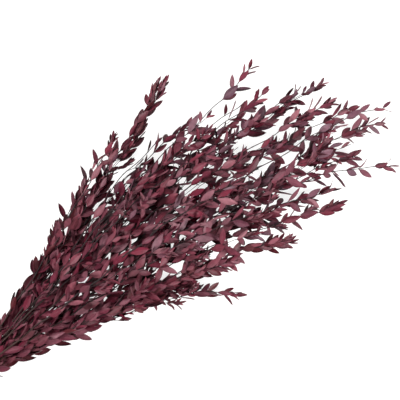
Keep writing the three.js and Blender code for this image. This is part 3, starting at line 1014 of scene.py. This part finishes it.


# Preserved eucalyptus leaf, soaked in glycerine and dye until supple: a satin skin, uneven where the dye took
# more or less and darker as painted shade where the leaf lies deep under others, with the brightest leaves
# greyed as a painted sheen, a fine pale midrib with faint side veins, and a duller, darker lower face. Real
# side veins lie closer, and are drawn as coarse as they need to show.
def preserved_leaf(name, under):
    sizes = bpy.context.scene.bunch_leaves
    material, tree = new_material(name)
    place = add_node(tree, "ShaderNodeTexCoord")
    tone = add_node(tree, "ShaderNodeAttribute", attribute_name="leaf_tone_and_shade")
    tones = add_node(tree, "ShaderNodeSeparateColor", {"Color": tone.outputs["Color"]})
    dye = add_node(tree, "ShaderNodeValToRGB", {"Fac": tones.outputs["Red"]})
    dyes = (sizes.umber, sizes.burgundy, sizes.wine, sizes.burgundy, sizes.plum)
    set_ramp(dye, list(zip(DYE_PLACES, dyes)))
    colour = dye.outputs["Color"]
    if under:
        dulled = {MIX_SHARE: UNDERSIDE_DULLED, MIX_FROM: colour, MIX_TO: sizes.underside}
        colour = add_node(tree, "ShaderNodeMix", dulled, data_type="RGBA").outputs[MIXED]
    # The second channel of the tone is the leaf's random brightness together with its painted shade. It sets
    # both how dark the colour is and how pure, and greys the brightest leaves as a painted sheen.
    brightness = {"Value": tones.outputs["Green"]}
    deep = {**brightness, "To Min": DYE_AND_SHADE_DEPTH[0], "To Max": DYE_AND_SHADE_DEPTH[1]}
    depth = add_node(tree, "ShaderNodeMapRange", deep)
    pure = {**brightness, "To Min": PURITY_AND_PAINTED_SHEEN[0], "To Max": PURITY_AND_PAINTED_SHEEN[1]}
    purity = add_node(tree, "ShaderNodeMapRange", pure)
    blotches = add_node(
        tree,
        "ShaderNodeTexNoise",
        {"Vector": place.outputs["Object"], "Scale": 1 / BLOTCH, "Detail": BLOTCH_DETAIL},
    )
    blotchy = add_node(tree, "ShaderNodeMapRange", spread_noise(blotches, BLOTCH_DEPTH))
    strength = add_node(tree, "ShaderNodeMath", {0: depth, 1: blotchy}, operation="MULTIPLY")
    dyed = {"Color": colour, "Value": strength, "Saturation": purity}
    shade = add_node(tree, "ShaderNodeHueSaturation", dyed)
    spot = add_node(tree, "ShaderNodeSeparateXYZ", {0: place.outputs["UV"]})
    side = add_node(tree, "ShaderNodeMath", {0: spot.outputs["X"], 1: 0.5}, operation="SUBTRACT")
    aside = add_node(tree, "ShaderNodeMath", {0: side}, operation="ABSOLUTE")
    nerves = draw_nerves(tree, aside, spot.outputs["Y"])
    faint = add_node(tree, "ShaderNodeMath", {0: nerves, 1: NERVES_SHARE}, operation="MULTIPLY")
    pale = {MIX_SHARE: faint, MIX_FROM: shade, MIX_TO: sizes.midrib}
    veined = add_node(tree, "ShaderNodeMix", pale, data_type="RGBA")
    margin = {"Value": aside, "From Min": MARGIN_FROM, "From Max": 0.5, "To Min": 1.0, "To Max": MARGIN_DEPTH}
    edge = add_node(tree, "ShaderNodeMapRange", margin)
    edged = add_node(tree, "ShaderNodeHueSaturation", {"Color": veined.outputs[MIXED], "Value": edge})
    both = {0: blotches, 1: BLOTCH_RELIEF, 2: nerves}
    relief = add_node(tree, "ShaderNodeMath", both, operation="MULTIPLY_ADD")
    raised = {"Height": relief, "Strength": LEAF_BUMP[0], "Distance": LEAF_BUMP[1]}
    gloss = LOWER_GLOSS if under else UPPER_GLOSS
    inputs = {
        "Base Color": edged,
        "Roughness": gloss[0],
        "Specular IOR Level": gloss[1],
        "Normal": add_node(tree, "ShaderNodeBump", raised, invert=not under),
    }
    skin = add_node(tree, "ShaderNodeBsdfPrincipled", inputs)
    add_node(tree, "ShaderNodeOutputMaterial", {0: skin})
    return material


# Eucalyptus bark that took the dye: red-brown on the old wood near the band, grey-brown on the young wood
# at the tips, with fine ridges along it.
def dyed_bark():
    wood = bpy.context.scene.bunch_wood
    material, tree = new_material("dyed_bark")
    spot = add_node(tree, "ShaderNodeTexCoord").outputs["Object"]
    reach = add_node(tree, "ShaderNodeVectorMath", {0: spot, 1: BAND_MIDDLE}, operation="DISTANCE")
    youth = add_node(
        tree,
        "ShaderNodeMapRange",
        {"Value": reach.outputs["Value"], "From Min": YOUNG_WOOD[0], "From Max": YOUNG_WOOD[1]},
    )
    tints = {MIX_SHARE: youth, MIX_FROM: wood.bark, MIX_TO: wood.twig}
    tint = add_node(tree, "ShaderNodeMix", tints, data_type="RGBA").outputs[MIXED]
    lines = {"Vector": spot, "Scale": (1 / GRAIN_LENGTH, 1 / GRAIN, 1 / GRAIN)}
    drawn = add_node(tree, "ShaderNodeMapping", lines)
    grain = add_node(tree, "ShaderNodeTexNoise", {"Vector": drawn, "Scale": 1.0, "Detail": GRAIN_DETAIL})
    draw_skin(tree, tint, grain, GRAIN_DEPTH, GRAIN_BUMP, BARK_GLOSS)
    return material


# Wood snipped across with shears: pale and dry, with fine pores.
def snipped_wood():
    colour = bpy.context.scene.bunch_wood.cut
    material, tree = new_material("snipped_wood")
    spot = add_node(tree, "ShaderNodeTexCoord").outputs["Object"]
    dots = {"Vector": spot, "Scale": 1 / PORE, "Detail": PORE_DETAIL}
    pores = add_node(tree, "ShaderNodeTexNoise", dots)
    draw_skin(tree, colour, pores, PORE_DEPTH, PORE_BUMP, CUT_GLOSS)
    return material


# Natural latex, cut from an extruded tube: tan, slightly dusty, with faint lines along each turn.
def natural_latex():
    colour = bpy.context.scene.bunch_band.latex
    material, tree = new_material("natural_latex")
    spot = add_node(tree, "ShaderNodeTexCoord").outputs["Object"]
    lines = {"Vector": spot, "Scale": (1 / RUB_LINE, 1 / RUB, 1 / RUB)}
    drawn = add_node(tree, "ShaderNodeMapping", lines)
    dust = add_node(tree, "ShaderNodeTexNoise", {"Vector": drawn, "Scale": 1.0, "Detail": RUB_DETAIL})
    draw_skin(tree, colour, dust, RUB_DEPTH, RUB_BUMP, RUBBER_GLOSS)
    return material


# Matt opal board of a light table: off-white and even, lit a little from below, which keeps shadows faint.
def opal_board():
    stage = bpy.context.scene.bunch_stage
    material, tree = new_material("opal_board")
    inputs = {
        "Base Color": stage.floor,
        "Roughness": FLOOR_GLOSS[0],
        "Specular IOR Level": FLOOR_GLOSS[1],
        "Emission Color": WHITE,
        "Emission Strength": stage.glow,
    }
    board = add_node(tree, "ShaderNodeBsdfPrincipled", inputs)
    add_node(tree, "ShaderNodeOutputMaterial", {0: board})
    return material


def hoop(gap):
    """Corners of the band's outline, seen along the stems: flat below, round at its corners and domed."""
    side = (len(COLUMNS) - 1) / 2 * SLOT_PITCH_Y
    shoulder = SLOT_LOWEST + BAND_SHOULDER * SLOT_PITCH_Z
    dome = (BAND_TOP - BAND_SHOULDER) * SLOT_PITCH_Z
    # Each arc has its middle, its half width and height, its first angle and its turn in half circles,
    # and its number of steps.
    arcs = [
        (side, SLOT_LOWEST, gap, gap, -0.5, 0.5, CORNER_STEPS),
        (0, shoulder, side + gap, dome + gap, 0, 1, DOME_STEPS),
        (-side, SLOT_LOWEST, gap, gap, 1, 0.5, CORNER_STEPS),
    ]
    corners = []
    for y, z, wide, high, first, turned, steps in arcs:
        for k in range(steps + 1):
            angle = math.pi * (first + turned * k / steps)
            corners.append((y + wide * math.cos(angle), z + high * math.sin(angle)))
    return corners


def wind_turn(number, turns):
    """One turn of the band: a circle brought to the outline, drawn out to a strip and given its wall."""
    width = (BAND_WIDTH - (turns - 1) * TURN_GAP) / turns
    start = number * (width + TURN_GAP) - BAND_WIDTH / 2 + TURN_WANDER
    corners = hoop(BAND_CLEAR + BAND_THICKNESS)
    start_clean()
    bpy.ops.mesh.primitive_circle_add(vertices=len(corners), radius=BAND_WIDTH, location=(0, 0, 0))
    turn = bpy.context.object
    for k, (vertex, (y, z)) in enumerate(zip(turn.data.vertices, corners)):
        wander = TURN_WANDER * math.sin(2 * math.pi * k / len(corners) + 2 * number)
        vertex.co = BAND_MIDDLE + Vector((start + wander, y, z))
    bpy.ops.object.mode_set(mode="EDIT")
    bpy.ops.mesh.select_all(action="SELECT")
    drawn_out = {"value": (width - 2 * TURN_WANDER, 0, 0)}
    bpy.ops.mesh.extrude_region_move(TRANSFORM_OT_translate=drawn_out)
    bpy.ops.mesh.select_all(action="SELECT")
    bpy.ops.mesh.normals_make_consistent(inside=False)
    bpy.ops.object.mode_set(mode="OBJECT")
    wall = turn.modifiers.new("wall", "SOLIDIFY")
    wall.thickness = TURN_THICKNESS
    wall.offset = -1
    edge = turn.modifiers.new("edge", "BEVEL")
    edge.width = TURN_BEVEL
    edge.segments = 2
    edge.limit_method = "ANGLE"
    edge.angle_limit = TURN_CREASE
    apply_all(turn)
    return turn


class BUNCH_OT_wood(bpy.types.Operator):
    """Adds the wood of every stem, with its side twigs and spurs"""

    bl_idname = "bunch.wood"
    bl_label = "Stems and twigs"

    def execute(self, context):
        dyed_bark()
        snipped_wood()
        for number, stem in enumerate(grown_bunch(), 1):
            node = f"leafy_stem_{number:02d}"
            wood = draw_wood(f"{node}_wood", stem.shoots)
            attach(wood, "root")
            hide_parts(node)
        return {"FINISHED"}


class BUNCH_OT_leaves(bpy.types.Operator):
    """Adds the leaves of every stem"""

    bl_idname = "bunch.leaves"
    bl_label = "Leaves"

    def execute(self, context):
        finishes = [preserved_leaf("preserved_leaf", False), preserved_leaf("preserved_leaf_underside", True)]
        forms = []
        for number, shape in enumerate(LEAF_FORMS, 1):
            form = model_leaf(f"leaf_form_{number}", *shape)
            for finish in finishes:
                form.data.materials.append(finish)
            form.data.attributes.new("leaf_tone_and_shade", "FLOAT_COLOR", "POINT")
            forms.append(form)
        grown = grown_bunch()
        # The heights of all leaves set how much painted shade each leaf gets.
        heights = heights_by_cell(grown)
        for number, stem in enumerate(grown, 1):
            node = f"leafy_stem_{number:02d}"
            copies = []
            for leaf in stem.leaves:
                tone = leaf_tone_and_shade(leaf, heights, stem.column)
                copies.append(copy_leaf(forms[leaf.form], leaf, tone))
            piece = join(f"{node}_leaves", copies)
            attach(piece, "root")
            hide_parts(node)
        for form in forms:
            bpy.data.objects.remove(form)
        return {"FINISHED"}


class BUNCH_OT_band(bpy.types.Operator):
    """Adds the rubber band round the bare stems"""

    bl_idname = "bunch.band"
    bl_label = "Rubber band"

    def execute(self, context):
        turns = context.scene.bunch_band.turns
        band = join("wound_rubber_band", [wind_turn(number, turns) for number in range(turns)])
        band.data.materials.append(natural_latex())
        bpy.ops.object.shade_smooth_by_angle(angle=TURN_CREASE)
        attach(band, "root")
        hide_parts("rubber_band")
        return {"FINISHED"}


class BUNCH_OT_stage(bpy.types.Operator):
    """Adds the floor, the lights and the camera"""

    bl_idname = "bunch.stage"
    bl_label = "Floor, lights and camera"

    def execute(self, context):
        stage = context.scene.bunch_stage
        start_clean()
        bpy.ops.mesh.primitive_plane_add(size=FLOOR_SIZE)
        floor = context.object
        floor.name = "studio_floor"
        floor.data.materials.append(opal_board())
        floor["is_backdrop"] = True
        right = Vector((math.cos(VIEW_TURN), -math.sin(VIEW_TURN), 0))
        above = Vector((math.sin(VIEW_TURN), math.cos(VIEW_TURN), 0))
        middle = BAND_MIDDLE + right * VIEW_RIGHT + above * VIEW_UP
        bpy.ops.object.camera_add(location=middle + UP * stage.distance, rotation=(0, 0, -VIEW_TURN))
        camera = context.object
        camera.data.sensor_width = SENSOR
        camera.data.lens = SENSOR * (stage.distance - VIEW_HEIGHT) / VIEW_WIDTH
        context.scene.camera = camera
        for name, aside, ahead, up, power in SOFTBOXES:
            place = middle + right * aside + above * ahead + UP * up
            bpy.ops.object.light_add(type="AREA", location=place)
            box = context.object
            box.name = name
            box.data.size = SOFTBOX_SIZE
            box.data.energy = stage.key * power
            box.rotation_euler = (middle - place).to_track_quat("-Z", "Y").to_euler()
        world = bpy.data.worlds.new("soft_light")
        world.use_nodes = True
        sky = world.node_tree.nodes["Background"]
        sky.inputs["Color"].default_value = WHITE
        sky.inputs["Strength"].default_value = stage.sky
        context.scene.world = world
        context.scene.view_settings.view_transform = "Standard"
        return {"FINISHED"}


class BUNCH_PT_pieces(bpy.types.Panel):
    """Lists the pieces of the bunch, each with its sizes and colours"""

    bl_label = "Eucalyptus bunch"
    bl_idname = "BUNCH_PT_pieces"
    bl_space_type = "VIEW_3D"
    bl_region_type = "UI"
    bl_category = "Bunch"

    def draw(self, context):
        for settings, group, operator in PIECES:
            box = self.layout.box()
            for name in group.__annotations__:
                box.prop(getattr(context.scene, settings), name)
            box.operator(operator.bl_idname)


PIECES = [
    ("bunch_wood", BunchWood, BUNCH_OT_wood),
    ("bunch_leaves", BunchLeaves, BUNCH_OT_leaves),
    ("bunch_band", BunchBand, BUNCH_OT_band),
    ("bunch_stage", BunchStage, BUNCH_OT_stage),
]


def register():
    for settings, group, operator in PIECES:
        bpy.utils.register_class(group)
        bpy.utils.register_class(operator)
        setattr(bpy.types.Scene, settings, PointerProperty(type=group))
    bpy.utils.register_class(BUNCH_PT_pieces)


def unregister():
    bpy.utils.unregister_class(BUNCH_PT_pieces)
    for settings, group, operator in reversed(PIECES):
        delattr(bpy.types.Scene, settings)
        bpy.utils.unregister_class(operator)
        bpy.utils.unregister_class(group)


def main():
    register()
    bpy.ops.bunch.stage()
    bpy.ops.bunch.wood()
    bpy.ops.bunch.leaves()
    bpy.ops.bunch.band()
    boxes = {"cad": cad_box, "visual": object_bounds()}
    {name: [list(corner) for corner in box] for name, box in boxes.items()}


if __name__ == "__main__":
    main()
